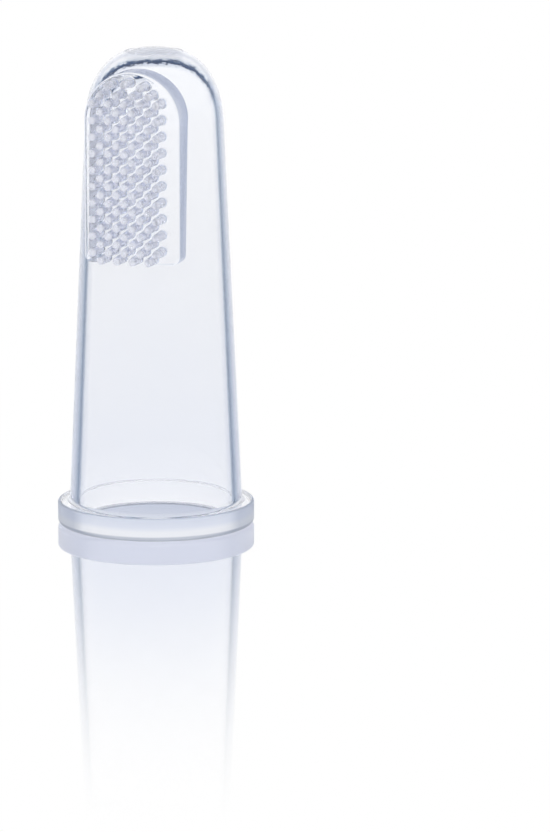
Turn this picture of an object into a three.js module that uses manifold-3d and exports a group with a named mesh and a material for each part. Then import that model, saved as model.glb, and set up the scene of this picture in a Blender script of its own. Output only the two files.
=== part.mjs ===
// Finger toothbrush for pets: a thimble of clear silicone with a raised pad of bristles.
// Millimetres, +Z up along the finger tube. The open end stands on z = 0, the axis is x = y = 0,
// and the bristles point along -Y.
import * as THREE from 'three';
import { mergeVertices } from 'three/addons/utils/BufferGeometryUtils.js';
import Module from 'manifold-3d';

// Driving dimensions.
const HEIGHT = 56.5; // underside of the rim to the top of the dome
const FLANGE_RADIUS = 11.6;
const FLANGE_HEIGHT = 2.75;
const FLANGE_LOWER_ROUND = 0.6; // edge radii of the rim
const FLANGE_UPPER_ROUND = 0.3;
const MOUTH_ROUND = 0.25;
const SLEEVE_BASE_RADIUS = 10.17; // outside of the tube where it leaves the rim
const SLEEVE_TOP_RADIUS = 8.12; // outside of the tube where the dome begins
const WALL_AT_BASE = 1.05;
const WALL_AT_TOP = 0.87;
const PARTING_Z = 47.4; // the dome begins here
const DOME_WALL = 1.4; // thickness of the closed end on the axis
const DOME_POWER = 2.5; // 2 is an ellipse, more is squarer

const PAD_FACE = 9.3; // distance of the bristle platform's face from the axis
const PAD_WIDTH = 11.5;
const PAD_BASE_Z = 32.4;
const PAD_TOP_Z = 54.6;
const PAD_CORNER = 0.8; // radius of the two lower corners
const PAD_EDGE_ROUND = 0.3; // rounding round the face's outline
const PAD_BACK = 4.0; // the platform's block starts this far from the axis, inside the hollow
const GAP = 0.3; // clearance round the platform

const BRISTLE_RADIUS = 0.55; // at the root
const BRISTLE_TIP_RADIUS = 0.46;
const BRISTLE_LENGTH = 3.2;
const GRID = 0.955; // the bristles stand on a staggered grid of this pitch, both ways
const FIRST_ROW_Z = 33.05;
const FULL_ROWS = 21; // a last, short row follows the half-round end
const SHORT_ROW_RISE = [0.2, 0.4, 0.05]; // its bristles are moved up by this, from -X to +X
const STRIP_WIDTH = 0.6; // skin of the platform that carries one row
const STRIP_HEIGHT = 0.3;
const STRIP_END = 0.35; // how far the strip runs past the centre of the row's end bristles

const ROUND_STEPS = 64; // sides of the turned pieces
const DOME_STEPS = 10; // rings of a dome
const ARCH_STEPS = 20; // segments of each arc in the platform's outline
const CORNER_STEPS = 3;
const BRISTLE_STEPS = 8;
const WELD = 1e-4; // points closer than this are one point

const wasm = await Module();
wasm.setup();

// How far up the tube a height is: 0 where it leaves the rim, 1 where the dome begins.
function shareOfTube(z) {
  return (z - FLANGE_HEIGHT) / (PARTING_Z - FLANGE_HEIGHT);
}

// The outside of the tube at height z, as a radius from the axis.
function outerRadius(z) {
  return THREE.MathUtils.lerp(SLEEVE_BASE_RADIUS, SLEEVE_TOP_RADIUS, shareOfTube(z));
}

// The inside of the tube, where the finger goes.
function innerRadius(z) {
  const t = THREE.MathUtils.clamp(shareOfTube(z), 0, 1);
  return outerRadius(z) - THREE.MathUtils.lerp(WALL_AT_BASE, WALL_AT_TOP, t);
}

// The two ends of a straight taper, from one height to another.
function sidePoints(radiusAt, fromZ, toZ) {
  return [fromZ, toZ].map((z) => new THREE.Vector2(radiusAt(z), z));
}

// A dome that carries on from a tapering side, from the parting plane to the axis.
function domePoints(radiusAt, rise) {
  const points = [];
  for (let i = 0; i <= DOME_STEPS; i += 1) {
    const angle = (i / DOME_STEPS) * (Math.PI / 2);
    const z = PARTING_Z + rise * Math.sin(angle) ** (2 / DOME_POWER);
    const share = i === DOME_STEPS ? 0 : Math.cos(angle) ** (2 / DOME_POWER);
    points.push(new THREE.Vector2(radiusAt(z) * share, z));
  }
  return points;
}

// Points along a quarter circle round (x, z), starting at an angle in degrees.
function cornerPoints(x, z, radius, startDegrees) {
  const points = [];
  for (let i = 0; i <= CORNER_STEPS; i += 1) {
    const angle = THREE.MathUtils.degToRad(startDegrees + (90 * i) / CORNER_STEPS);
    points.push(new THREE.Vector2(x + radius * Math.cos(angle), z + radius * Math.sin(angle)));
  }
  return points;
}

// A profile of (radius, height) points turned about +Z. It runs up the outside first, and either
// starts and ends on the axis or is closed here.
function turned(points) {
  const onAxis = points[0].x === 0;
  const profile = onAxis ? points : [...points, points[0].clone()];
  const geometry = new THREE.LatheGeometry(profile, ROUND_STEPS);
  geometry.rotateX(Math.PI / 2);
  return geometry;
}

// A closed surface as a solid that can be cut and joined, and back again.
function toSolid(geometry) {
  const bare = geometry.clone();
  bare.deleteAttribute('normal');
  bare.deleteAttribute('uv');
  const merged = mergeVertices(bare, WELD);
  const index = merged.index.array;
  const kept = [];
  for (let i = 0; i < index.length; i += 3) {
    const [a, b, c] = [index[i], index[i + 1], index[i + 2]];
    if (a !== b && b !== c && c !== a) {
      kept.push(a, b, c);
    }
  }
  const mesh = new wasm.Mesh({
    numProp: 3,
    vertProperties: new Float32Array(merged.attributes.position.array),
    triVerts: new Uint32Array(kept),
  });
  return new wasm.Manifold(mesh);
}

function toGeometry(solid) {
  const mesh = solid.getMesh();
  const geometry = new THREE.BufferGeometry();
  geometry.setAttribute('position', new THREE.BufferAttribute(mesh.vertProperties, 3));
  geometry.setIndex(new THREE.BufferAttribute(mesh.triVerts, 1));
  geometry.computeVertexNormals();
  return geometry;
}

// The platform's outline in X and Z, grown by some margin: rounded lower corners, half-round top.
function padOutline(margin) {
  const half = PAD_WIDTH / 2 + margin;
  const base = PAD_BASE_Z - margin;
  const corner = PAD_CORNER + margin;
  const arcZ = PAD_TOP_Z - PAD_WIDTH / 2;
  const shape = new THREE.Shape();
  shape.absarc(half - corner, base + corner, corner, -Math.PI / 2, 0, false);
  shape.absarc(0, arcZ, half, 0, Math.PI, false);
  shape.absarc(corner - half, base + corner, corner, Math.PI, 1.5 * Math.PI, false);
  shape.closePath();
  return shape;
}

// The platform's outline extruded along -Y between two distances from the axis.
function padBlock(margin, nearY, farY, round) {
  const geometry = new THREE.ExtrudeGeometry(padOutline(margin), {
    depth: farY - nearY - 2 * round,
    curveSegments: ARCH_STEPS,
    bevelEnabled: round > 0,
    bevelSize: round,
    bevelOffset: -round,
    bevelThickness: round,
    bevelSegments: 2,
  });
  geometry.rotateX(Math.PI / 2);
  geometry.translate(0, -nearY - round, 0);
  return geometry;
}

// One bristle: a slightly tapered rod with a round tip, standing on the platform's face.
function bristle(x, z) {
  const tipStart = BRISTLE_LENGTH - BRISTLE_TIP_RADIUS;
  const profile = [
    new THREE.Vector2(0, 0),
    new THREE.Vector2(BRISTLE_RADIUS, 0),
    new THREE.Vector2(BRISTLE_TIP_RADIUS, tipStart),
    new THREE.Vector2(BRISTLE_TIP_RADIUS * Math.SQRT1_2, tipStart + BRISTLE_TIP_RADIUS * Math.SQRT1_2),
    new THREE.Vector2(0, BRISTLE_LENGTH),
  ];
  const geometry = new THREE.LatheGeometry(profile, BRISTLE_STEPS);
  geometry.rotateX(Math.PI);
  geometry.translate(x, -PAD_FACE, z);
  return geometry;
}

// Where a row's bristles stand: 4 on odd rows, 5 on even rows, 3 on the short last row.
function rowPlaces(row) {
  const short = row > FULL_ROWS;
  const count = short ? 3 : 4 + ((row + 1) % 2);
  const places = [];
  for (let i = 0; i < count; i += 1) {
    const x = (2 * i - (count - 1)) * GRID;
    const z = FIRST_ROW_Z + (row - 1) * GRID + (short ? SHORT_ROW_RISE[i] : 0);
    places.push([x, z]);
  }
  return places;
}

// A row of bristles on the thin strip of the platform's skin that carries them.
function bristleRow(row) {
  const places = rowPlaces(row);
  const heights = places.map(([, z]) => z);
  const low = Math.min(...heights) - STRIP_WIDTH / 2;
  const high = Math.max(...heights) + STRIP_WIDTH / 2;
  const reach = places[places.length - 1][0] + STRIP_END;
  const strip = new THREE.BoxGeometry(2 * reach, STRIP_HEIGHT, high - low);
  strip.translate(0, -PAD_FACE - STRIP_HEIGHT / 2, (low + high) / 2);
  return toGeometry(
    places.reduce((solid, [x, z]) => solid.add(toSolid(bristle(x, z))), toSolid(strip)),
  );
}

const silicone = (color) => new THREE.MeshStandardMaterial({
  color,
  roughness: 0.18,
  metalness: 0,
  transparent: true,
  opacity: 0.45,
});

const brush = new THREE.Group();

function addPart(name, geometry, color) {
  const mesh = new THREE.Mesh(geometry, silicone(color));
  mesh.name = name;
  brush.add(mesh);
}

// The hollow that the finger goes into, and the window that the platform fills in the wall.
const hollow = toSolid(turned([
  new THREE.Vector2(0, 0),
  new THREE.Vector2(innerRadius(0), 0),
  ...sidePoints(innerRadius, FLANGE_HEIGHT, PARTING_Z),
  ...domePoints(innerRadius, HEIGHT - DOME_WALL - PARTING_Z).slice(1),
]));
const padWindow = toSolid(padBlock(GAP, PAD_BACK - GAP, FLANGE_RADIUS, 0));

addPart('base_flange', turned([
  ...cornerPoints(FLANGE_RADIUS - FLANGE_LOWER_ROUND, FLANGE_LOWER_ROUND, FLANGE_LOWER_ROUND, -90),
  ...cornerPoints(
    FLANGE_RADIUS - FLANGE_UPPER_ROUND,
    FLANGE_HEIGHT - FLANGE_UPPER_ROUND,
    FLANGE_UPPER_ROUND,
    0,
  ),
  new THREE.Vector2(innerRadius(FLANGE_HEIGHT), FLANGE_HEIGHT),
  ...cornerPoints(innerRadius(0) + MOUTH_ROUND, MOUTH_ROUND, MOUTH_ROUND, 180),
]), 0xd5dbe8);

addPart('finger_sleeve', toGeometry(toSolid(turned([
  ...sidePoints(outerRadius, FLANGE_HEIGHT, PARTING_Z),
  ...sidePoints(innerRadius, PARTING_Z, FLANGE_HEIGHT),
])).subtract(padWindow)), 0xe6eaf4);

addPart('dome_tip', toGeometry(toSolid(turned([
  ...domePoints(outerRadius, HEIGHT - PARTING_Z),
  ...domePoints(innerRadius, HEIGHT - DOME_WALL - PARTING_Z).reverse(),
])).subtract(padWindow)), 0xdfe4ef);

addPart(
  'brush_pad',
  toGeometry(toSolid(padBlock(0, PAD_BACK, PAD_FACE, PAD_EDGE_ROUND)).subtract(hollow)),
  0xc8cfdf,
);

for (let row = 1; row <= FULL_ROWS + 1; row += 1) {
  addPart(`bristle_row_${String(row).padStart(2, '0')}`, bristleRow(row), 0xbcc5d9);
}

export default brush;
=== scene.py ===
"""Looks of a clear silicone finger toothbrush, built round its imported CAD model.

Every piece of silicone is a closed mesh that takes the place of one CAD node. Where two pieces
are one moulding, their touching faces match and let light straight through, so light is only
bent at the real surfaces. Metres, +Z up along the finger tube, bristles towards -Y.
"""
from itertools import product
from math import asin, ceil, cos, degrees, hypot, pi, radians, sin, sqrt

import bpy
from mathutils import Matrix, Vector
from mathutils.geometry import delaunay_2d_cdt


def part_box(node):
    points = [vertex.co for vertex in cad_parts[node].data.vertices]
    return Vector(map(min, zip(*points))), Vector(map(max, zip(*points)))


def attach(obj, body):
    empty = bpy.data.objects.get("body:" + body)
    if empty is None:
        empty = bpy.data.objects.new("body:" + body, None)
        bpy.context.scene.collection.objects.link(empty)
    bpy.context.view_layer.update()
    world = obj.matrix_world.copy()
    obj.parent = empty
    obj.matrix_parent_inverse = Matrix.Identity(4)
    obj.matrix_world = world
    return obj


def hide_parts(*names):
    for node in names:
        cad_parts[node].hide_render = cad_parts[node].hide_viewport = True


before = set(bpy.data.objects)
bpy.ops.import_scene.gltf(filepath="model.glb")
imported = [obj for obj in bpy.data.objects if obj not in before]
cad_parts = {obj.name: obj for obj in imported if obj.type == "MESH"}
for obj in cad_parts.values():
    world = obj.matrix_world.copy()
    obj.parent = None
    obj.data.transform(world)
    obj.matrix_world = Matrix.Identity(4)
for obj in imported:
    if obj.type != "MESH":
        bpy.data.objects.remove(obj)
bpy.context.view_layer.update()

MM = 0.001
WELD = 1e-6  # size of the cells that tell points apart
CELL_OVERLAP = 0.1  # a point this share of a cell from the next one counts as in it too
SNAP = 0.01 * MM  # a CAD point this near a height or the axis lies on it

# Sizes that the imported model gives.
ROWS = sorted(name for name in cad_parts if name.startswith("bristle_row_"))
_, flange_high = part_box("base_flange")
_, sleeve_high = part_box("finger_sleeve")
pad_low, pad_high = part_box("brush_pad")
row_low, row_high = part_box(ROWS[0])
FLANGE_RADIUS = flange_high.x
FLANGE_TOP = flange_high.z
PARTING = sleeve_high.z
PAD_HALF = pad_high.x
PAD_BASE = pad_low.z
PAD_TOP = pad_high.z
PAD_FACE = -pad_low.y
BRISTLE_TIP = -row_low.y
BRISTLE_RADIUS = (row_high.z - row_low.z) / 2

# Details finer than the CAD model.
FLANGE_LOWER_ROUND = 0.6 * MM
FLANGE_UPPER_ROUND = 0.3 * MM
MOUTH_ROUND = 0.25 * MM
SLEEVE_FILLET = 0.4 * MM  # between the rim's top and the tube
DOME_POWER = 2.5  # 2 is an ellipse, more is squarer
GATE_RADIUS = 3.4 * MM  # the round mark that the mould leaves on the dome
GATE_STEP = 0.1 * MM
PAD_CORNER = 0.8 * MM
PAD_SIDE_ROUND = 0.55 * MM  # rounding of the platform's front edge at its sides,
PAD_ARCH_ROUND = 0.28 * MM  # at the top of its arch
PAD_BASE_ROUND = 0.08 * MM  # and along its base
ODD_ROW_COUNT = 4  # bristles in an odd row; an even row has one more
SHORT_ROW_RISE = (0.15 * MM, 0.35 * MM, 0.0)  # the last row's bristles above its lowest one
ROOT_RADIUS = 0.66 * MM  # a bristle flares a little where it leaves the platform
ROOT_HEIGHT = 0.3 * MM
ROOT_LEAN = 0.6  # how far the flare's normals lean off the face at its foot, in radians
ROOT_CLEARANCE = 0.01 * MM  # the flare stays this far from the edge of the face
SHAFT_RADIUS = 0.56 * MM  # just above the flare
TIP_RADIUS = 0.47 * MM

# How finely the surfaces are divided.
TURN_STEPS = 192  # sides of the turned surfaces
DOME_RINGS = 28
RING_GAP = 0.05 * MM  # the dome's rings stay this far from its ends
BRISTLE_STEPS = 20
ARC_STEPS = 6  # segments of a rounded edge
FLARE_RINGS = 3
OUTLINE_STEP = 0.3 * MM
BAND_STEP = 1.2 * MM  # rings of the surface that the platform stands on
BAND_MARGIN = 0.5 * MM  # how far above the platform that surface ends
OUTLINE_GAP = 0.1 * MM  # and how far its points stay from the platform's outline
HEIGHT_ROUNDS = 8  # of the search for the height at which the dome has some radius
ALL_TRIANGLES = 0  # kinds of output of delaunay_2d_cdt
INNER_TRIANGLES = 1
MERGE = 1e-6  # delaunay_2d_cdt joins points this near, in millimetres

SILICONE = 0  # material slots of every piece
JOIN = 1
BORE = 2  # the third and fourth slot differ from piece to piece
FLARE = 2
PAD_SIDE = 3
RIM_SIDE = 3
MARK = 3


def ring(node, z):
    """The smallest and largest distance from the axis of a node's points at height z."""
    points = [v.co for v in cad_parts[node].data.vertices if abs(v.co.z - z) < SNAP]
    distances = [hypot(p.x, p.y) for p in points]
    return min(distances), max(distances)


def axis_heights(node):
    """The lowest and highest point of a node on the axis."""
    points = [v.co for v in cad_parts[node].data.vertices]
    heights = [p.z for p in points if hypot(p.x, p.y) < SNAP]
    return min(heights), max(heights)


class Wall:
    """One side of the thimble's wall: a straight taper that ends in a dome."""

    def __init__(self, base_radius, top_radius, dome_top, facing):
        self.base_radius = base_radius
        self.slope = (top_radius - base_radius) / (PARTING - FLANGE_TOP)
        self.rise = dome_top - PARTING
        self.facing = facing

    def taper(self, z):
        return self.base_radius + self.slope * (z - FLANGE_TOP)

    def radius(self, z):
        height = max(0.0, (z - PARTING) / self.rise)
        return self.taper(z) * max(0.0, 1 - height ** DOME_POWER) ** (1 / DOME_POWER)

    def slant(self, radius, z):
        """The normal at a point of the profile, as a radial and an upward part."""
        share = radius / self.taper(z)
        height = max(0.0, (z - PARTING) / self.rise)
        bulge = share ** (DOME_POWER - 1)
        out = bulge / self.taper(z)
        up = height ** (DOME_POWER - 1) / self.rise - bulge * share * self.slope / self.taper(z)
        return Vector((out, up)).normalized() * self.facing

    def profile(self, heights):
        """Profile points at some heights, as (radius, height, normal)."""
        return [(self.radius(z), z, self.slant(self.radius(z), z)) for z in heights]

    def height(self, radius):
        """The height at which the dome has some radius."""
        z = PARTING
        for _ in range(HEIGHT_ROUNDS):
            share = radius / self.taper(z)
            z = PARTING + self.rise * (1 - share ** DOME_POWER) ** (1 / DOME_POWER)
        return z

    def dome_heights(self, low, high):
        """Heights from low to high on the dome, evenly spaced along its curve."""
        heights = [low]
        for i in range(DOME_RINGS + 1):
            z = PARTING + self.rise * sin(pi / 2 * i / DOME_RINGS) ** (2 / DOME_POWER)
            if low + RING_GAP < z < high - RING_GAP:
                heights.append(z)
        return heights + [high]


base_inner, base_outer = ring("finger_sleeve", FLANGE_TOP)
top_inner, top_outer = ring("finger_sleeve", PARTING)
dome_inner, dome_outer = axis_heights("dome_tip")
OUTSIDE = Wall(base_outer, top_outer, dome_outer, 1)
INSIDE = Wall(base_inner, top_inner, dome_inner, -1)
ARCH_Z = PAD_TOP - PAD_HALF
BAND_TOP = PAD_TOP + BAND_MARGIN


def turn_angles():
    """Angles round the axis from -Y, with one on each side where the platform leaves the tube."""
    angles = [-pi + 2 * pi * i / TURN_STEPS for i in range(TURN_STEPS + 1)]
    side = asin(PAD_HALF / OUTSIDE.radius(PARTING))
    for target in (-side, side):
        nearest = min(range(len(angles)), key=lambda i: abs(angles[i] - target))
        angles[nearest] = target
    return angles


ANGLES = turn_angles()
BRISTLE_TURNS = [2 * pi * i / BRISTLE_STEPS for i in range(BRISTLE_STEPS)]


def on_axis(radius, angle, z):
    """A point at a distance from the axis, at an angle from -Y."""
    return Vector((radius * sin(angle), -radius * cos(angle), z))


class Skin:
    """A closed mesh that is put together from patches, each corner with its own normal."""

    def __init__(self):
        self.index = {}
        self.points = []
        self.polygons = []
        self.normals = []
        self.slots = []

    def point(self, co):
        """The number of a point. Points a hair apart get one number, whatever cells they are in."""
        spans = ({round(c / WELD - CELL_OVERLAP), round(c / WELD + CELL_OVERLAP)} for c in co)
        cells = list(product(*spans))
        number = next((self.index[cell] for cell in cells if cell in self.index), len(self.points))
        if number == len(self.points):
            self.points.append(co)
        for cell in cells:
            self.index.setdefault(cell, number)
        return number

    def face(self, corners, slot):
        """Adds a polygon of (point, normal) corners, turned the way its normals point."""
        kept = []
        for co, normal in corners:
            number = self.point(co)
            if number not in [n for n, _ in kept]:
                kept.append((number, normal))
        if len(kept) < 3:
            return
        a, b, c = (self.points[n] for n, _ in kept[:3])
        if (b - a).cross(c - a).dot(sum((n for _, n in kept), Vector())) < 0:
            kept.reverse()
        self.polygons.append([n for n, _ in kept])
        self.normals.extend(n for _, n in kept)
        self.slots.append(slot)

    def flat(self, points, normal, slot):
        self.face([(co, normal) for co in points], slot)

    def turned(self, run, slot):
        """Turns a smooth run of (radius, height, normal) about the axis."""
        for low, high in zip(run, run[1:]):
            for a, b in zip(ANGLES, ANGLES[1:]):
                corners = []
                for (r, z, n), angle in ((low, a), (low, b), (high, b), (high, a)):
                    corners.append((on_axis(r, angle, z), on_axis(n[0], angle, n[1])))
                self.face(corners, slot)

    def disc(self, inner, outer, z, up, slot):
        """A flat ring at one height."""
        self.turned([(inner, z, (0, up)), (outer, z, (0, up))], slot)

    def build(self, name, materials):
        mesh = bpy.data.meshes.new(name)
        mesh.from_pydata(self.points, [], self.polygons)
        for material in materials:
            mesh.materials.append(material)
        mesh.polygons.foreach_set("material_index", self.slots)
        mesh.polygons.foreach_set("use_smooth", [True] * len(self.polygons))
        mesh.normals_split_custom_set(self.normals)
        mesh.validate()
        piece = bpy.data.objects.new(name, mesh)
        bpy.context.scene.collection.objects.link(piece)
        return piece


def rounded(radius, z, size, start, hollow=False):
    """A quarter circle of profile points round (radius, z), from an angle in degrees."""
    run = []
    for i in range(ARC_STEPS + 1):
        angle = radians(start + 90 * i / ARC_STEPS)
        out, up = cos(angle), sin(angle)
        normal = (-out, -up) if hollow else (out, up)
        run.append((radius + size * out, z + size * up, normal))
    return run


def steps(start, end, size):
    """Evenly spaced values from start to end, about size apart."""
    count = ceil(abs(end - start) / size)
    return [start + (end - start) * i / count for i in range(count + 1)]


def pad_outline():
    """Points round the platform as (x, z, normal x, normal z), counterclockwise from its base."""
    points = []

    def line(x0, z0, x1, z1, nx, nz):
        for t in steps(0, 1, OUTLINE_STEP / hypot(x1 - x0, z1 - z0))[:-1]:
            points.append((x0 + (x1 - x0) * t, z0 + (z1 - z0) * t, nx, nz))

    def arc(x, z, radius, start, end):
        for angle in steps(start, end, degrees(OUTLINE_STEP / radius))[:-1]:
            nx, nz = cos(radians(angle)), sin(radians(angle))
            points.append((x + radius * nx, z + radius * nz, nx, nz))

    corner_x = PAD_HALF - PAD_CORNER
    corner_z = PAD_BASE + PAD_CORNER
    line(-corner_x, PAD_BASE, corner_x, PAD_BASE, 0, -1)
    arc(corner_x, corner_z, PAD_CORNER, -90, 0)
    line(PAD_HALF, corner_z, PAD_HALF, PARTING, 1, 0)
    line(PAD_HALF, PARTING, PAD_HALF, ARCH_Z, 1, 0)
    arc(0, ARCH_Z, PAD_HALF, 0, 180)
    line(-PAD_HALF, ARCH_Z, -PAD_HALF, PARTING, -1, 0)
    line(-PAD_HALF, PARTING, -PAD_HALF, corner_z, -1, 0)
    arc(-corner_x, corner_z, PAD_CORNER, 180, 270)
    return points


OUTLINE = pad_outline()


def in_outline(x, z):
    """Whether a point is inside the platform's outline."""
    x = abs(x)
    if z > ARCH_Z:
        return hypot(x, z - ARCH_Z) < PAD_HALF
    over_x = x - (PAD_HALF - PAD_CORNER)
    under_z = PAD_BASE + PAD_CORNER - z
    if over_x > 0 and under_z > 0:
        return hypot(over_x, under_z) < PAD_CORNER
    return x < PAD_HALF and z > PAD_BASE


def parted_outline():
    """The outline in two parts: the tube's, from the left round the base to the right, and the
    dome's, from the right over the arch to the left."""
    right, left = (
        min(range(len(OUTLINE)), key=lambda i: hypot(OUTLINE[i][0] - x, OUTLINE[i][1] - PARTING))
        for x in (PAD_HALF, -PAD_HALF)
    )
    return OUTLINE[left:] + OUTLINE[:right + 1], OUTLINE[right:left + 1]


def outer_normal(co):
    """The outer wall's normal at one of its points."""
    radius = hypot(co.x, co.y)
    out, up = OUTSIDE.slant(radius, co.z)
    return Vector((out * co.x / radius, out * co.y / radius, up))


def cut_band(heights, rim):
    """The outer wall between two heights, cut along a part of the platform's outline.

    Gives its triangles of points, as those outside the outline and those inside it.
    """
    span = OUTSIDE.base_radius / MM  # lays the angles out flat at about their real width
    flat = [Vector((asin(x / OUTSIDE.radius(z)) * span, z / MM)) for x, z, _, _ in rim]
    edges = [(i, i + 1) for i in range(len(rim) - 1)]
    for z in heights:
        clear = WELD if z in (heights[0], heights[-1]) else OUTLINE_GAP
        for angle in ANGLES:
            x = OUTSIDE.radius(z) * sin(angle)
            if abs(angle) > pi / 2 or min(hypot(x - rx, z - rz) for rx, rz, _, _ in rim) > clear:
                flat.append(Vector((angle * span, z / MM)))
    points, _, triangles, *_ = delaunay_2d_cdt(flat, edges, [], ALL_TRIANGLES, MERGE)
    outside, inside = [], []
    for triangle in triangles:
        corners = []
        for i in triangle:
            z = points[i].y * MM
            corners.append(on_axis(OUTSIDE.radius(z), points[i].x / span, z))
        centre = sum(corners, Vector()) / 3
        within = centre.y < 0 and in_outline(centre.x, centre.z)
        (inside if within else outside).append(corners)
    return outside, inside


ON_TUBE, ON_DOME = parted_outline()
TUBE_BAND = cut_band(steps(FLANGE_TOP + SLEEVE_FILLET, PARTING, BAND_STEP), ON_TUBE)
DOME_BAND = cut_band(OUTSIDE.dome_heights(PARTING, BAND_TOP), ON_DOME)


def add_band(skin, band):
    """The outer wall round the platform, and the part of it that the platform joins."""
    outside, inside = band
    for corners in outside:
        skin.face([(co, outer_normal(co)) for co in corners], SILICONE)
    for corners in inside:
        skin.flat(corners, Vector((0, -1, 0)), JOIN)


def base_flange():
    """The rim that the tube stands on."""
    skin = Skin()
    mouth = INSIDE.taper(MOUTH_ROUND)
    side = FLANGE_RADIUS - FLANGE_LOWER_ROUND
    shoulder = FLANGE_RADIUS - FLANGE_UPPER_ROUND
    tube = OUTSIDE.base_radius + SLEEVE_FILLET
    lower_edge = rounded(side, FLANGE_LOWER_ROUND, FLANGE_LOWER_ROUND, -90)
    upper_edge = rounded(shoulder, FLANGE_TOP - FLANGE_UPPER_ROUND, FLANGE_UPPER_ROUND, 0)
    skin.turned(lower_edge + upper_edge, RIM_SIDE)
    skin.disc(tube, shoulder, FLANGE_TOP, 1, SILICONE)
    skin.disc(INSIDE.base_radius, tube, FLANGE_TOP, 1, JOIN)
    skin.turned(INSIDE.profile([FLANGE_TOP, MOUTH_ROUND]), BORE)
    skin.turned(rounded(mouth + MOUTH_ROUND, MOUTH_ROUND, MOUTH_ROUND, 180), RIM_SIDE)
    skin.disc(mouth + MOUTH_ROUND, side, 0, -1, SILICONE)
    return skin


def finger_sleeve():
    """The tube, from the rim to where the dome begins."""
    skin = Skin()
    foot = OUTSIDE.base_radius + SLEEVE_FILLET
    fillet_top = FLANGE_TOP + SLEEVE_FILLET
    fillet = rounded(foot, fillet_top, SLEEVE_FILLET, 180, hollow=True)
    fillet[0] = (OUTSIDE.taper(fillet_top), fillet_top, fillet[0][2])
    skin.turned(fillet, SILICONE)
    add_band(skin, TUBE_BAND)
    skin.disc(INSIDE.radius(PARTING), OUTSIDE.radius(PARTING), PARTING, 1, JOIN)
    skin.turned(INSIDE.profile([PARTING, FLANGE_TOP]), BORE)
    skin.disc(INSIDE.base_radius, foot, FLANGE_TOP, -1, JOIN)
    return skin


def dome_tip():
    """The closed end, with the mould's round mark on top."""
    skin = Skin()
    add_band(skin, DOME_BAND)
    gate_z = OUTSIDE.height(GATE_RADIUS)
    skin.turned(OUTSIDE.profile(OUTSIDE.dome_heights(BAND_TOP, gate_z)), SILICONE)
    crown = OUTSIDE.profile(OUTSIDE.dome_heights(gate_z, PARTING + OUTSIDE.rise))
    gate = [(r, z - GATE_STEP, n) for r, z, n in crown]
    skin.turned([(GATE_RADIUS, gate_z, (-1, 0)), (gate[0][0], gate[0][1], (-1, 0))], SILICONE)
    skin.turned(gate, MARK)
    skin.turned(INSIDE.profile(INSIDE.dome_heights(PARTING, PARTING + INSIDE.rise)), BORE)
    skin.disc(INSIDE.radius(PARTING), OUTSIDE.radius(PARTING), PARTING, -1, JOIN)
    return skin


def edge_round(nz):
    """The radius of the platform's front edge where its outline faces nz up."""
    end_round = PAD_BASE_ROUND if nz < 0 else PAD_ARCH_ROUND
    return PAD_SIDE_ROUND + (end_round - PAD_SIDE_ROUND) * nz * nz


def brush_pad():
    """The platform: its wall, its rounded front edge, and the face that carries the bristles."""
    skin = Skin()
    for _, inside in (TUBE_BAND, DOME_BAND):
        for corners in inside:
            skin.flat(corners, Vector((0, 1, 0)), JOIN)

    def section(x, z, nx, nz):
        """One slice from the tube's surface to the face, as (point, normal)."""
        foot = Vector((x, -sqrt(OUTSIDE.radius(z) ** 2 - x * x), z))
        run = [(foot, Vector((nx, 0, nz)))]
        size = edge_round(nz)
        for i in range(ARC_STEPS + 1):
            angle = pi / 2 * i / ARC_STEPS
            inset = size * (1 - cos(angle))
            co = Vector((x - nx * inset, -PAD_FACE + size * (1 - sin(angle)), z - nz * inset))
            run.append((co, Vector((nx * cos(angle), -sin(angle), nz * cos(angle)))))
        return run

    slices = [section(*point) for point in OUTLINE]
    for one, other in zip(slices, slices[1:] + slices[:1]):
        for i in range(len(one) - 1):
            slot = PAD_SIDE if i < ARC_STEPS // 2 else SILICONE
            skin.face([one[i], other[i], other[i + 1], one[i + 1]], slot)

    flat = [Vector((run[-1][0].x / MM, run[-1][0].z / MM)) for run in slices]
    edges = [(i, (i + 1) % len(flat)) for i in range(len(flat))]
    roots = [(x, z, root_radius(x, z)) for row in ROWS for x, z in bristle_places(row)]
    for x, z, radius in roots:
        first = len(flat)
        for co in circle(x, z, radius):
            flat.append(Vector((co.x / MM, co.z / MM)))
        edges += [(first + i, first + (i + 1) % BRISTLE_STEPS) for i in range(BRISTLE_STEPS)]
    points, _, triangles, *_ = delaunay_2d_cdt(flat, edges, [], INNER_TRIANGLES, MERGE)
    for triangle in triangles:
        corners = [Vector((points[i].x * MM, -PAD_FACE, points[i].y * MM)) for i in triangle]
        centre = sum(corners, Vector()) / 3
        rooted = any(hypot(centre.x - x, centre.z - z) < radius for x, z, radius in roots)
        skin.flat(corners, Vector((0, -1, 0)), JOIN if rooted else SILICONE)
    return skin


def bristle_places(row):
    """Where a row's bristles stand, worked out from the row's box."""
    low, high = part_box(row)
    last = row == ROWS[-1]
    count = len(SHORT_ROW_RISE) if last else ODD_ROW_COUNT + ROWS.index(row) % 2
    reach = high.x - BRISTLE_RADIUS
    places = []
    for i in range(count):
        x = reach * (2 * i / (count - 1) - 1)
        z = low.z + BRISTLE_RADIUS + (SHORT_ROW_RISE[i] if last else 0)
        places.append((x, z))
    return places


def root_radius(x, z):
    """How wide a bristle's root is: narrower where the edge of the platform's face is near."""
    over = max(0.0, z - ARCH_Z)
    reach = max(hypot(x, over), WELD)
    side_room = PAD_HALF - edge_round(over / reach) - reach
    base_room = z - PAD_BASE - PAD_BASE_ROUND
    return min(ROOT_RADIUS, side_room - ROOT_CLEARANCE, base_room - ROOT_CLEARANCE)


def circle(x, z, radius):
    """Points round a bristle's root on the platform's face."""
    return [Vector((x + radius * cos(t), -PAD_FACE, z + radius * sin(t))) for t in BRISTLE_TURNS]


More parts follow.
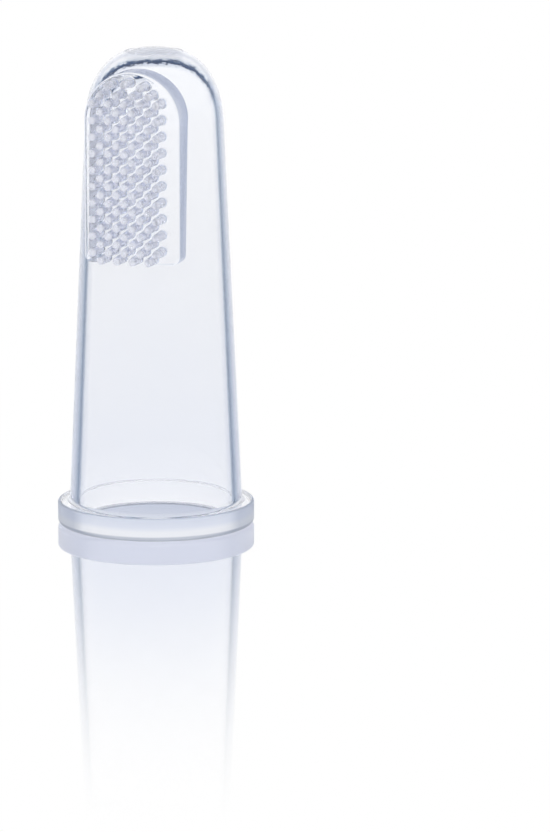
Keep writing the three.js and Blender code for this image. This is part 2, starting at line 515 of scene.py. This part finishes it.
def bristle_profile(root):
    """A flared root, a tapering shaft and a round tip.

    Its points are (radius, distance from the face, radial normal, normal away from the face).
    """
    tip_z = BRISTLE_TIP - PAD_FACE - TIP_RADIUS
    flare = root - SHAFT_RADIUS
    run = []
    for i in range(FLARE_RINGS + 1):
        t = i / FLARE_RINGS
        lean = (1 - t) * ROOT_LEAN
        run.append((SHAFT_RADIUS + flare * (1 - t) ** 2, ROOT_HEIGHT * t, cos(lean), sin(lean)))
    for i in range(ARC_STEPS + 1):
        angle = pi / 2 * i / ARC_STEPS
        out, away = cos(angle), sin(angle)
        run.append((TIP_RADIUS * out, tip_z + TIP_RADIUS * away, out, away))
    return run


def bristle_rings(x, z, root):
    """The rings of one bristle from its root to its tip, each a list of (point, normal)."""
    rings = []
    for radius, distance, out, away in bristle_profile(root):
        corners = []
        for t in BRISTLE_TURNS:
            co = Vector((x + radius * cos(t), -PAD_FACE - distance, z + radius * sin(t)))
            corners.append((co, Vector((out * cos(t), -away, out * sin(t)))))
        rings.append(corners)
    return rings


def bristle_row(row):
    """The bristles of one row."""
    skin = Skin()
    for x, z in bristle_places(row):
        root = root_radius(x, z)
        rings = bristle_rings(x, z, root)
        for number, (near, far) in enumerate(zip(rings, rings[1:])):
            slot = FLARE if number < FLARE_RINGS else SILICONE
            for i in range(BRISTLE_STEPS):
                j = (i + 1) % BRISTLE_STEPS
                skin.face([near[i], near[j], far[j], far[i]], slot)
        skin.flat(circle(x, z, root), Vector((0, 1, 0)), JOIN)
    return skin


WHITE = (1.0, 1.0, 1.0)
IOR = 1.41  # of silicone
CLARITY = 0.95  # of clear silicone, and of all silicone for light on its way out of it
POLISH = (0.005, 0.03)  # lowest and highest roughness of the clear silicone
RIPPLE = 0.003 * MM
FINE_RIPPLE = 0.002 * MM

# Noise textures, as (scale, detail), and the range that nearly all of their values are in.
CLOUDS = (160, 3)
SHEEN = (900, 2)
RIPPLES = (220, 1)
GRAIN = (2500, 3)
NOISE_SPAN = (0.3, 0.7)

# Two cloud colours each.
PALE = (0.985, 0.988, 0.996), (0.97, 0.976, 0.992)
MILKY = (0.89, 0.895, 0.945), (0.83, 0.84, 0.905)
SMOKY = (0.93, 0.935, 0.95), (0.58, 0.61, 0.69)

# Painted shade at the edges: how much a surface's colour is darkened, from where light meets it
# squarely, at 0, to where it grazes it, at 1.
OUTER_EDGE = (0.6, WHITE), (1.0, (0.85, 0.87, 0.93))
BORE_EDGE = (0.6, WHITE), (0.85, (0.7, 0.74, 0.82)), (1.0, (0.5, 0.56, 0.68))
PAD_EDGE = (0.2, WHITE), (0.6, (0.32, 0.37, 0.52)), (1.0, (0.24, 0.28, 0.42))
BRISTLE_EDGE = (0.6, WHITE), (0.88, (0.75, 0.78, 0.86)), (1.0, (0.45, 0.5, 0.62))
RIM_EDGE = (
    (0.25, WHITE),
    (0.35, (0.94, 0.95, 0.97)),
    (0.48, (0.6, 0.63, 0.7)),
    (0.8, (0.52, 0.56, 0.64)),
)

# Up the rim's side, painted shade and a painted highlight: its lower edge is painted dark, and a
# painted bright band lies just above.
RIM_HEIGHT = (
    (0.0, (0.45, 0.48, 0.54)),
    (0.17, (0.52, 0.55, 0.62)),
    (0.24, WHITE),
    (0.42, WHITE),
    (0.62, (0.84, 0.87, 0.94)),
    (1.0, (0.76, 0.8, 0.89)),
)
# painted reflection: a darker tint that the rim's side takes where the floor mirrors it
MIRRORED_RIM = (0.55, 0.59, 0.74)  # the rim's side as the floor mirrors it

# Painted shade along a bristle, from its root to its tip: dark near the root and a little darker at
# the tip.
BRISTLE_LENGTHWISE = (
    (0.1, (0.55, 0.63, 0.8)),
    (0.16, (0.7, 0.76, 0.88)),
    (0.3, WHITE),
    (0.85, WHITE),
    (0.95, (0.9, 0.9, 0.91)),
)

# Painted shade: from inside the silicone, the bore mirrors everything beyond the critical angle,
# and a dark line is painted where that begins. The line is darker and more ragged round the crown
# of the dome.
BORE_MIRROR = (
    (0.28, WHITE),
    (0.298, (0.3, 0.38, 0.5)),
    (0.31, (0.16, 0.25, 0.38)),
    (0.318, (0.42, 0.5, 0.62)),
    (0.34, (0.57, 0.62, 0.73)),
    (0.36, (0.71, 0.75, 0.83)),
    (0.39, (0.86, 0.88, 0.93)),
    (0.42, WHITE),
)
CROWN_MIRROR = (
    (0.277, WHITE),
    (0.284, (0.0, 0.045, 0.15)),
    (0.318, (0.0, 0.045, 0.15)),
    (0.325, (0.4, 0.46, 0.56)),
    (0.335, (0.78, 0.82, 0.87)),
    (0.36, (0.95, 0.955, 0.96)),
    (0.42, WHITE),
)
CROWN = (49.5 * MM, 53.5 * MM)  # heights between which the crown's line takes over
RAGGED = (0.002, 0.02)  # how far the line strays, on the tube and on the crown

# Painted glow: light that has met more surfaces than this ends there in a glow of this colour.
TRAPPED_DEPTH = 4.5  # in the wall of the tube
TRAPPED_GLOW = (0.52, 0.55, 0.65)
SCATTER_DEPTH = 2.5  # among the bristles
SCATTER_GLOW = (0.86, 0.88, 0.98)


def add_node(tree, kind, **settings):
    """A shader node with some of its attributes and inputs set."""
    node = tree.nodes.new(kind)
    for name, value in settings.items():
        if hasattr(node, name):
            setattr(node, name, value)
        else:
            node.inputs[name.replace("_", " ")].default_value = value
    return node


def map_range(tree, source, from_min, from_max, to_min, to_max, smooth=False):
    """The output of a Map Range node that is fed by source."""
    node = add_node(tree, "ShaderNodeMapRange", From_Min=from_min, From_Max=from_max,
                    To_Min=to_min, To_Max=to_max)
    if smooth:
        node.interpolation_type = "SMOOTHSTEP"
    tree.links.new(source, node.inputs["Value"])
    return node.outputs["Result"]


def calculate(tree, operation, first, second):
    """The output of a Math node, fed by an output and by another output or a number."""
    node = add_node(tree, "ShaderNodeMath", operation=operation)
    tree.links.new(first, node.inputs[0])
    if isinstance(second, (int, float)):
        node.inputs[1].default_value = second
    else:
        tree.links.new(second, node.inputs[1])
    return node.outputs[0]


MIX_COLORS = (6, 7)  # the sockets of a Mix node that take and give colours
MIX_RESULT = 2


def blend_colors(tree, factor, first, second, blend_type):
    """The output of a Mix node. The factor and the two colours are fixed, or outputs."""
    node = add_node(tree, "ShaderNodeMix", data_type="RGBA", blend_type=blend_type)
    if isinstance(factor, float):
        node.inputs["Factor"].default_value = factor
    else:
        tree.links.new(factor, node.inputs["Factor"])
    for number, color in zip(MIX_COLORS, (first, second)):
        if isinstance(color, tuple):
            node.inputs[number].default_value = (*color, 1)
        else:
            tree.links.new(color, node.inputs[number])
    return node.outputs[MIX_RESULT]


def mix_colors(tree, factor, first, second):
    return blend_colors(tree, factor, first, second, "MIX")


def multiply(tree, first, second):
    return blend_colors(tree, 1.0, first, second, "MULTIPLY")


def mix_shaders(tree, factor, first, second):
    """The output of a Mix Shader node. The factor is a number or an output."""
    node = add_node(tree, "ShaderNodeMixShader")
    if isinstance(factor, float):
        node.inputs[0].default_value = factor
    else:
        tree.links.new(factor, node.inputs[0])
    tree.links.new(first, node.inputs[1])
    tree.links.new(second, node.inputs[2])
    return node.outputs[0]


def split_axes(tree, vector):
    """The X, Y and Z outputs of a vector."""
    node = add_node(tree, "ShaderNodeSeparateXYZ")
    tree.links.new(vector, node.inputs[0])
    return node.outputs


def noise(tree, coordinates, scale, detail):
    node = add_node(tree, "ShaderNodeTexNoise", Scale=scale, Detail=detail)
    tree.links.new(coordinates, node.inputs["Vector"])
    return node.outputs["Fac"]


def color_ramp(tree, source, levels):
    """A colour ramp through (position, colour) levels, fed by source."""
    node = add_node(tree, "ShaderNodeValToRGB")
    tree.links.new(source, node.inputs["Fac"])
    elements = node.color_ramp.elements
    while len(elements) < len(levels):
        elements.new(0.5)  # and moved to its own place below
    for element, (position, color) in zip(elements, levels):
        element.position = position
        element.color = (*color, 1)
    return node.outputs["Color"]


def emission(tree, color):
    node = add_node(tree, "ShaderNodeEmission")
    if isinstance(color, tuple):
        node.inputs["Color"].default_value = (*color, 1)
    else:
        tree.links.new(color, node.inputs["Color"])
    return node.outputs["Emission"]


def deeper_than(tree, depth, count="Ray Depth"):
    """1 for light that has met more surfaces than depth on its way, otherwise 0.

    count is the output of the Light Path node that counts them.
    """
    met = add_node(tree, "ShaderNodeLightPath").outputs[count]
    return calculate(tree, "GREATER_THAN", met, depth)


def mirror_line(tree, place, facing):
    """The painted tint of light that meets the bore from inside the silicone: a painted dark line
    where the mirror begins.
    """
    crown = map_range(tree, split_axes(tree, place)["Z"], *CROWN, 0, 1, smooth=True)
    grain = map_range(tree, noise(tree, place, *GRAIN), *NOISE_SPAN, -1, 1)
    ragged = calculate(tree, "MULTIPLY", grain, map_range(tree, crown, 0, 1, *RAGGED))
    uneven = calculate(tree, "ADD", facing, ragged)
    lines = [color_ramp(tree, uneven, levels) for levels in (BORE_MIRROR, CROWN_MIRROR)]
    return mix_colors(tree, crown, *lines)


def silicone(name, tints, edge, roughness=POLISH, clarity=CLARITY, ripple=RIPPLE,
             bands=None, mirrored=None, painted_glow=0, mirror=False):
    """Silicone: clouded a little unevenly, with soft ripples from the mould.

    tints are its two cloud colours, edge says how painted shade darkens it towards its edges,
    roughness is the lowest and highest, clarity the share of light that passes into it, and ripple
    the height of the ripples. bands gives an axis, two places on it and the painted shade and
    highlight from the first to the second. mirrored is the surface's painted tint in the floor's
    reflection. painted_glow is the strength of a painted glow on light that has met many surfaces
    among the bristles. With mirror, light that meets the surface from inside the silicone gets the
    painted dark line where the mirror begins, and light that is trapped in the wall ends there in a
    painted glow.
    """
    material = bpy.data.materials.new(name)
    material.use_nodes = True
    tree = material.node_tree
    shader = tree.nodes["Principled BSDF"]
    place = add_node(tree, "ShaderNodeTexCoord").outputs["Object"]
    facing = add_node(tree, "ShaderNodeLayerWeight").outputs["Facing"]
    inside = add_node(tree, "ShaderNodeNewGeometry").outputs["Backfacing"]

    # painted shade: the colour darkens by how the surface faces the light that meets it
    darkening = color_ramp(tree, facing, edge)
    if bands:
        axis, start, end, levels = bands
        along = map_range(tree, split_axes(tree, place)[axis], start, end, 0, 1)
        darkening = multiply(tree, darkening, color_ramp(tree, along, levels))
    if mirrored:
        darkening = mix_colors(tree, deeper_than(tree, 0, "Glossy Depth"), darkening, mirrored)
    from_inside = mirror_line(tree, place, facing) if mirror else WHITE
    darkening = mix_colors(tree, inside, darkening, from_inside)
    tint = mix_colors(tree, noise(tree, place, *CLOUDS), *tints)
    color = multiply(tree, tint, darkening)
    rough = map_range(tree, noise(tree, place, *SHEEN), *NOISE_SPAN, *roughness)
    bump = add_node(tree, "ShaderNodeBump", Strength=1.0, Distance=ripple)
    tree.links.new(noise(tree, place, *RIPPLES), bump.inputs["Height"])

    def feed(node, color_input):
        node.inputs["IOR"].default_value = IOR
        tree.links.new(color, node.inputs[color_input])
        tree.links.new(rough, node.inputs["Roughness"])
        tree.links.new(bump.outputs["Normal"], node.inputs["Normal"])

    feed(shader, "Base Color")
    if mirror:  # glass, because it also tints what it mirrors from inside
        glass = add_node(tree, "ShaderNodeBsdfGlass")
        feed(glass, "Color")
        surface = mix_shaders(tree, clarity, shader.outputs["BSDF"], glass.outputs["BSDF"])
        # painted glow: light trapped in the wall ends in it
        trapped = deeper_than(tree, TRAPPED_DEPTH)
        surface = mix_shaders(tree, trapped, surface, emission(tree, TRAPPED_GLOW))
        tree.links.new(surface, tree.nodes["Material Output"].inputs["Surface"])
    else:
        through = map_range(tree, inside, 0, 1, clarity, CLARITY)
        tree.links.new(through, shader.inputs["Transmission Weight"])
    # painted glow on light that has met many surfaces among the bristles
    if painted_glow:
        glow = map_range(tree, deeper_than(tree, SCATTER_DEPTH), 0, 1, 0, painted_glow)
        tree.links.new(glow, shader.inputs["Emission Strength"])
        shader.inputs["Emission Color"].default_value = (*SCATTER_GLOW, 1)
    return material


def see_through(name):
    """The touching faces of two pieces of one moulding, which light doesn't notice."""
    material = bpy.data.materials.new(name)
    material.use_nodes = True
    tree = material.node_tree
    tree.nodes.remove(tree.nodes["Principled BSDF"])
    clear = add_node(tree, "ShaderNodeBsdfTransparent")
    tree.links.new(clear.outputs["BSDF"], tree.nodes["Material Output"].inputs["Surface"])
    return material


join = see_through("moulded_join")
polished = silicone("polished_silicone_look", PALE, OUTER_EDGE)
bore = silicone("bore_silicone_look", PALE, BORE_EDGE, mirror=True)
mark = silicone("gate_mark_look", SMOKY, OUTER_EDGE, roughness=(0.08, 0.15), clarity=0.9)
# painted shade and a painted highlight round and up the rim's side, and a painted tint in its
# reflection
rim_side = silicone("rim_side_look", PALE, RIM_EDGE, roughness=(0.35, 0.45), clarity=0.45,
                    ripple=FINE_RIPPLE, bands=("Z", 0, FLANGE_TOP, RIM_HEIGHT),
                    mirrored=MIRRORED_RIM)
# the platform's side walls get a strong band of painted shade
pad_side = silicone("pad_side_look", PALE, PAD_EDGE, roughness=(0.05, 0.1), ripple=FINE_RIPPLE)
# milky bristles, with painted shade along them and a painted glow among them
hazed_and_glowing = silicone("bristle_silicone_look", MILKY, BRISTLE_EDGE, roughness=(0.22, 0.3),
                 clarity=0.65, ripple=FINE_RIPPLE,
                 bands=("Y", -PAD_FACE, -BRISTLE_TIP, BRISTLE_LENGTHWISE), painted_glow=0.2)

bristle_materials = (hazed_and_glowing, join, polished)
pieces = [
    ("base_flange", base_flange(), (polished, join, bore, rim_side), "polished_silicone"),
    ("finger_sleeve", finger_sleeve(), (polished, join, bore), "polished_silicone"),
    ("dome_tip", dome_tip(), (polished, join, bore, mark), "polished_silicone"),
    ("brush_pad", brush_pad(), (polished, join, bore, pad_side), "bristle_silicone"),
]
pieces += [(row, bristle_row(row), bristle_materials, "bristle_silicone") for row in ROWS]
for node, skin, materials, slot in pieces:
    piece = skin.build("clear_" + node, materials)
    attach(piece, "root")
    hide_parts(node)

# The floor: white to the camera, with a reflection that fades with the distance from the brush.
# Seen by way of the silicone it has painted shade: a little bluer and darker round the brush, and
# more so under the bore.
FLOOR_RADIUS = 500 * MM
FLOOR_SIDES = 96
FLOOR_DROP = 0.02 * MM  # keeps the floor just clear of the rim
FLOOR_ROUGHNESS = 0.03
REFLECTION = 0.8  # strength of the reflection under the brush
REFLECTION_START = 9 * MM  # distance from the axis where it begins to fade
REFLECTION_REACH = 135 * MM  # and where it is gone
# painted shade and light on the floor as seen through the silicone: brighter just round the rim and
# far off, bluer and darker between
FLOOR_SHADES = (  # by way of the silicone: (distance from the axis, colour)
    (14 * MM, (1.03, 1.03, 1.04)),
    (22 * MM, (0.98, 0.99, 1.02)),
    (45 * MM, (0.93, 0.945, 0.985)),
    (220 * MM, WHITE),
    (FLOOR_RADIUS, (1.1, 1.1, 1.1)),
)
# painted shade on the floor under the bore, darker towards the back
MOUTH_FLOOR = ((0.7, 0.735, 0.82), (0.54, 0.585, 0.71))  # under the bore, from front to back
MOUTH_BLEND = (0.2 * MM, 0.7 * MM)  # past the bore's edge, where the floor shades take over


def floor_material():
    material = bpy.data.materials.new("white_floor")
    material.use_nodes = True
    tree = material.node_tree
    tree.nodes.remove(tree.nodes["Principled BSDF"])
    place = add_node(tree, "ShaderNodeTexCoord").outputs["Object"]
    length = add_node(tree, "ShaderNodeVectorMath", operation="LENGTH")
    tree.links.new(place, length.inputs[0])
    distance = length.outputs["Value"]

    gloss = add_node(tree, "ShaderNodeBsdfGlossy", Roughness=FLOOR_ROUGHNESS, Color=(*WHITE, 1))
    fade = map_range(tree, distance, REFLECTION_START, REFLECTION_REACH, REFLECTION, 0,
                     smooth=True)
    seen = mix_shaders(tree, fade, emission(tree, WHITE), gloss.outputs["BSDF"])

    mouth = INSIDE.taper(0)
    share = map_range(tree, distance, 0, FLOOR_RADIUS, 0, 1)
    shades = [(reach / FLOOR_RADIUS, color) for reach, color in FLOOR_SHADES]
    back = map_range(tree, split_axes(tree, place)["Y"], -mouth, mouth, 0, 1)
    blend_start, blend_end = (mouth + past for past in MOUTH_BLEND)
    beyond = map_range(tree, distance, blend_start, blend_end, 0, 1, smooth=True)
    # painted shade under the bore, then painted shade and light by the distance from the axis
    under_bore = mix_colors(tree, back, *MOUTH_FLOOR)
    through = mix_colors(tree, beyond, under_bore, color_ramp(tree, share, shades))

    camera = add_node(tree, "ShaderNodeLightPath").outputs["Is Camera Ray"]
    surface = mix_shaders(tree, camera, emission(tree, through), seen)
    tree.links.new(surface, tree.nodes["Material Output"].inputs["Surface"])
    return material


bpy.ops.mesh.primitive_circle_add(vertices=FLOOR_SIDES, radius=FLOOR_RADIUS, fill_type="NGON",
                                  location=(0, 0, -FLOOR_DROP))
floor = bpy.context.object
floor.name = "floor"
floor.data.materials.append(floor_material())

# The studio: soft light from all round, plain white except by way of the silicone. Seen that way
# it is a little brighter near the horizon, and a little bluer and dimmer halfway up.
SURROUND = (  # (sine of the elevation, colour)
    (-1.0, WHITE),
    (0.0, (1.1, 1.1, 1.1)),
    (0.28, (1.15, 1.15, 1.15)),
    (0.45, (1.05, 1.06, 1.08)),
    (0.6, (0.9, 0.92, 0.96)),
    (1.0, (1.1, 1.1, 1.1)),
)
MIRRORED = (  # its tint in the floor's reflection of the brush, by the same sine
    (0.1, WHITE),
    (0.13, (0.73, 0.76, 0.84)),
    (0.23, (0.73, 0.76, 0.84)),
    (0.27, WHITE),
)


def studio_world():
    world = bpy.data.worlds.new("studio")
    world.use_nodes = True
    tree = world.node_tree
    tree.nodes.clear()
    direction = add_node(tree, "ShaderNodeTexCoord").outputs["Generated"]
    height = map_range(tree, split_axes(tree, direction)["Z"], -1, 1, 0, 1)
    surround, toned = (
        color_ramp(tree, height, [((sine + 1) / 2, color) for sine, color in levels])
        for levels in (SURROUND, MIRRORED)
    )
    tone = mix_colors(tree, deeper_than(tree, 0, "Glossy Depth"), WHITE, toned)
    plain = add_node(tree, "ShaderNodeBackground", Color=(*WHITE, 1))
    backdrop = add_node(tree, "ShaderNodeBackground")
    tree.links.new(multiply(tree, surround, tone), backdrop.inputs["Color"])
    bent = deeper_than(tree, 0, "Transmission Depth")
    light = mix_shaders(tree, bent, plain.outputs[0], backdrop.outputs[0])
    output = add_node(tree, "ShaderNodeOutputWorld")
    tree.links.new(light, output.inputs["Surface"])
    return world


# The camera, at the height and side of the photograph.
AZIMUTH = radians(16.96)
ELEVATION = radians(10.07)
DISTANCE = 600 * MM
LENS = 220.9
MIDDLE = Vector((0, 0, 25 * MM))
AIM = Vector((14.1 * MM, 1.8 * MM, 13.1 * MM))  # leaves the brush left of the middle, and high
camera_data = bpy.data.cameras.new("camera")
camera_data.lens = LENS
camera = bpy.data.objects.new("camera", camera_data)
camera.location = MIDDLE + DISTANCE * Vector((
    sin(AZIMUTH) * cos(ELEVATION),
    -cos(AZIMUTH) * cos(ELEVATION),
    sin(ELEVATION),
))
camera.rotation_euler = (AIM - camera.location).to_track_quat("-Z", "Y").to_euler()
bpy.context.scene.collection.objects.link(camera)

BOUNCES = 64  # light crosses many surfaces among the bristles
DIFFUSE_BOUNCES = 24
scene = bpy.context.scene
scene.camera = camera
scene.world = studio_world()
scene.view_settings.view_transform = "Standard"
scene.cycles.max_bounces = BOUNCES
scene.cycles.diffuse_bounces = DIFFUSE_BOUNCES
scene.cycles.transmission_bounces = BOUNCES
scene.cycles.glossy_bounces = BOUNCES
scene.cycles.transparent_max_bounces = BOUNCES
